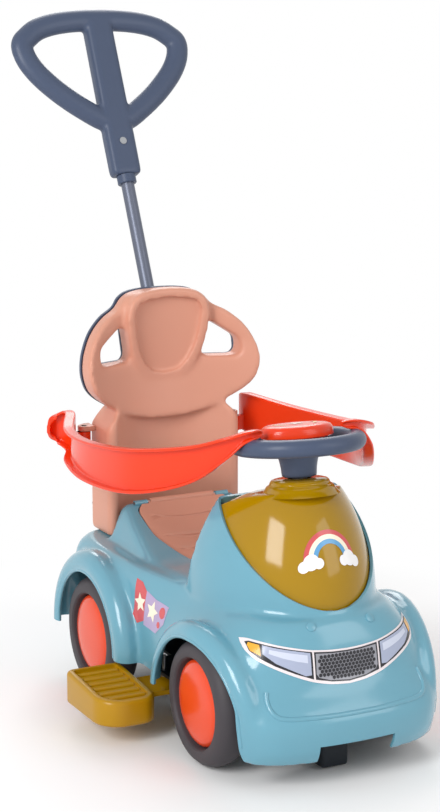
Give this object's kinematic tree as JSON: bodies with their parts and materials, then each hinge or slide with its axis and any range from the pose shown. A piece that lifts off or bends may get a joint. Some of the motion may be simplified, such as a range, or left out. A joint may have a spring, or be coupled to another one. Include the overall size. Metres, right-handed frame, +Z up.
{
  "type": "push car with handle",
  "caption": "Toddler ride-on push car: moulded body with steered front wheels, lidded seat, bucket backrest, swinging safety arms, sliding footrests and a lift-out push handle.",
  "frame": {"origin": "middle of the bounding box in plan, on the floor under the wheels", "axes": "+Z up, -Y the way the car drives, +X to the car's left"},
  "size_m": [0.444, 0.7513, 0.8724],
  "materials": {
    "body_blue": "smooth moulded, satin gloss",
    "dome_ochre": "smooth moulded, high gloss",
    "step_ochre": "smooth moulded, satin gloss",
    "seat_pink": "smooth moulded, soft satin",
    "slate": "smooth moulded, satin",
    "arm_orange": "smooth moulded, gloss",
    "cap_orange": "smooth moulded, gloss",
    "tyre_dark": "smooth moulded, matt",
    "dark_plastic": "smooth moulded, matt",
    "bush_plastic": "smooth moulded, matt",
    "steel": "bright drawn steel",
    "tube_grey": "powder-coated tube, satin silver grey"
  },
  "bodies": {
    "car_body": {"body_shell": "body_blue", "bonnet_dome": "dome_ochre", "column_upper_bush": "bush_plastic", "column_foot_bush": "bush_plastic", "rear_axle": "steel", "floor_pan": "dark_plastic", "rear_axle_bushes": "bush_plastic", "floor_pan_screws": "steel", "front_foot": "dark_plastic", "seat_lid_pin": "steel", "storage_bin": "dark_plastic", "backrest": "seat_pink", "backrest_rear_cover": "slate", "backrest_screws": "steel", "handle_socket": "body_blue", "arm_pin_left": "steel", "arm_pin_right": "steel", "footrest_rails_left": "dark_plastic", "footrest_rails_right": "dark_plastic", "rear_left_push_nut": "steel", "rear_right_push_nut": "steel"},
    "steering": {"steering_column": "steel", "steering_wheel": "slate", "steering_pad": "arm_orange"},
    "left_knuckle": {"knuckle_left": "dark_plastic", "front_left_push_nut": "steel"},
    "right_knuckle": {"knuckle_right": "dark_plastic", "front_right_push_nut": "steel"},
    "steering_link": {"tie_rod": "dark_plastic"},
    "front_left_roller": {"front_left_wheel": "tyre_dark", "front_left_bush": "bush_plastic", "front_left_hub_cap": "cap_orange"},
    "front_right_roller": {"front_right_wheel": "tyre_dark", "front_right_bush": "bush_plastic", "front_right_hub_cap": "cap_orange"},
    "rear_left_roller": {"rear_left_wheel": "tyre_dark", "rear_left_bush": "bush_plastic", "rear_left_hub_cap": "cap_orange"},
    "rear_right_roller": {"rear_right_wheel": "tyre_dark", "rear_right_bush": "bush_plastic", "rear_right_hub_cap": "cap_orange"},
    "lid": {"seat_lid": "seat_pink"},
    "left_arm": {"safety_arm_left": "arm_orange"},
    "right_arm": {"safety_arm_right": "arm_orange"},
    "left_step": {"footrest_left": "step_ochre"},
    "right_step": {"footrest_right": "step_ochre"},
    "push_handle": {"handle_tube": "tube_grey", "handle_collar": "slate", "handle_grip": "slate", "grip_screw": "steel"}
  },
  "joints": [
    {"name": "steering_turn", "type": "hinge", "parent": "car_body", "child": "steering", "pos_m": [0, -0.22, 0.377], "axis": [0, 0.1253, 0.9921], "range_deg": [-25, 25]},
    {"name": "left_knuckle_turn", "type": "hinge", "parent": "car_body", "child": "left_knuckle", "pos_m": [0.088, -0.232, 0.077], "axis": [0, 0, 1], "range_deg": [-8.5, 8.5]},
    {"name": "right_knuckle_turn", "type": "hinge", "parent": "car_body", "child": "right_knuckle", "pos_m": [-0.088, -0.232, 0.077], "axis": [0, 0, 1], "range_deg": [-8.5, 8.5]},
    {"name": "steering_link_slide", "type": "slide", "parent": "car_body", "child": "steering_link", "axis": [1, 0, 0], "range_m": [-0.0045, 0.0045]},
    {"name": "front_left_roll", "type": "hinge", "parent": "left_knuckle", "child": "front_left_roller", "pos_m": [0.124, -0.232, 0.077], "axis": [1, 0, 0], "continuous": true},
    {"name": "rear_left_roll", "type": "hinge", "parent": "car_body", "child": "rear_left_roller", "pos_m": [0.13, 0.064, 0.077], "axis": [1, 0, 0], "continuous": true},
    {"name": "front_right_roll", "type": "hinge", "parent": "right_knuckle", "child": "front_right_roller", "pos_m": [-0.124, -0.232, 0.077], "axis": [1, 0, 0], "continuous": true},
    {"name": "rear_right_roll", "type": "hinge", "parent": "car_body", "child": "rear_right_roller", "pos_m": [-0.13, 0.064, 0.077], "axis": [1, 0, 0], "continuous": true},
    {"name": "lid_hinge", "type": "hinge", "parent": "car_body", "child": "lid", "pos_m": [0, 0.097, 0.237], "axis": [-1, 0, 0], "range_deg": [0, 70]},
    {"name": "left_arm_swing", "type": "hinge", "parent": "car_body", "child": "left_arm", "pos_m": [0.111, 0.163, 0.316], "axis": [0, 0, 1], "range_deg": [0, 55]},
    {"name": "right_arm_swing", "type": "hinge", "parent": "car_body", "child": "right_arm", "pos_m": [-0.111, 0.163, 0.316], "axis": [0, 0, -1], "range_deg": [0, 55]},
    {"name": "left_step_slide", "type": "slide", "parent": "car_body", "child": "left_step", "axis": [-1, 0, 0], "range_m": [0, 0.025]},
    {"name": "right_step_slide", "type": "slide", "parent": "car_body", "child": "right_step", "axis": [1, 0, 0], "range_m": [0, 0.025]},
    {"name": "push_handle_lift", "type": "slide", "parent": "car_body", "child": "push_handle", "axis": [0, 0, 1], "range_m": [0, 0.15]}
  ],
  "couplings": [
    {"joint": "left_knuckle_turn", "follows": "steering_turn", "ratio": 0.32},
    {"joint": "right_knuckle_turn", "follows": "steering_turn", "ratio": 0.32},
    {"joint": "steering_link_slide", "follows": "steering_turn", "m_per_rad": -0.00957}
  ]
}
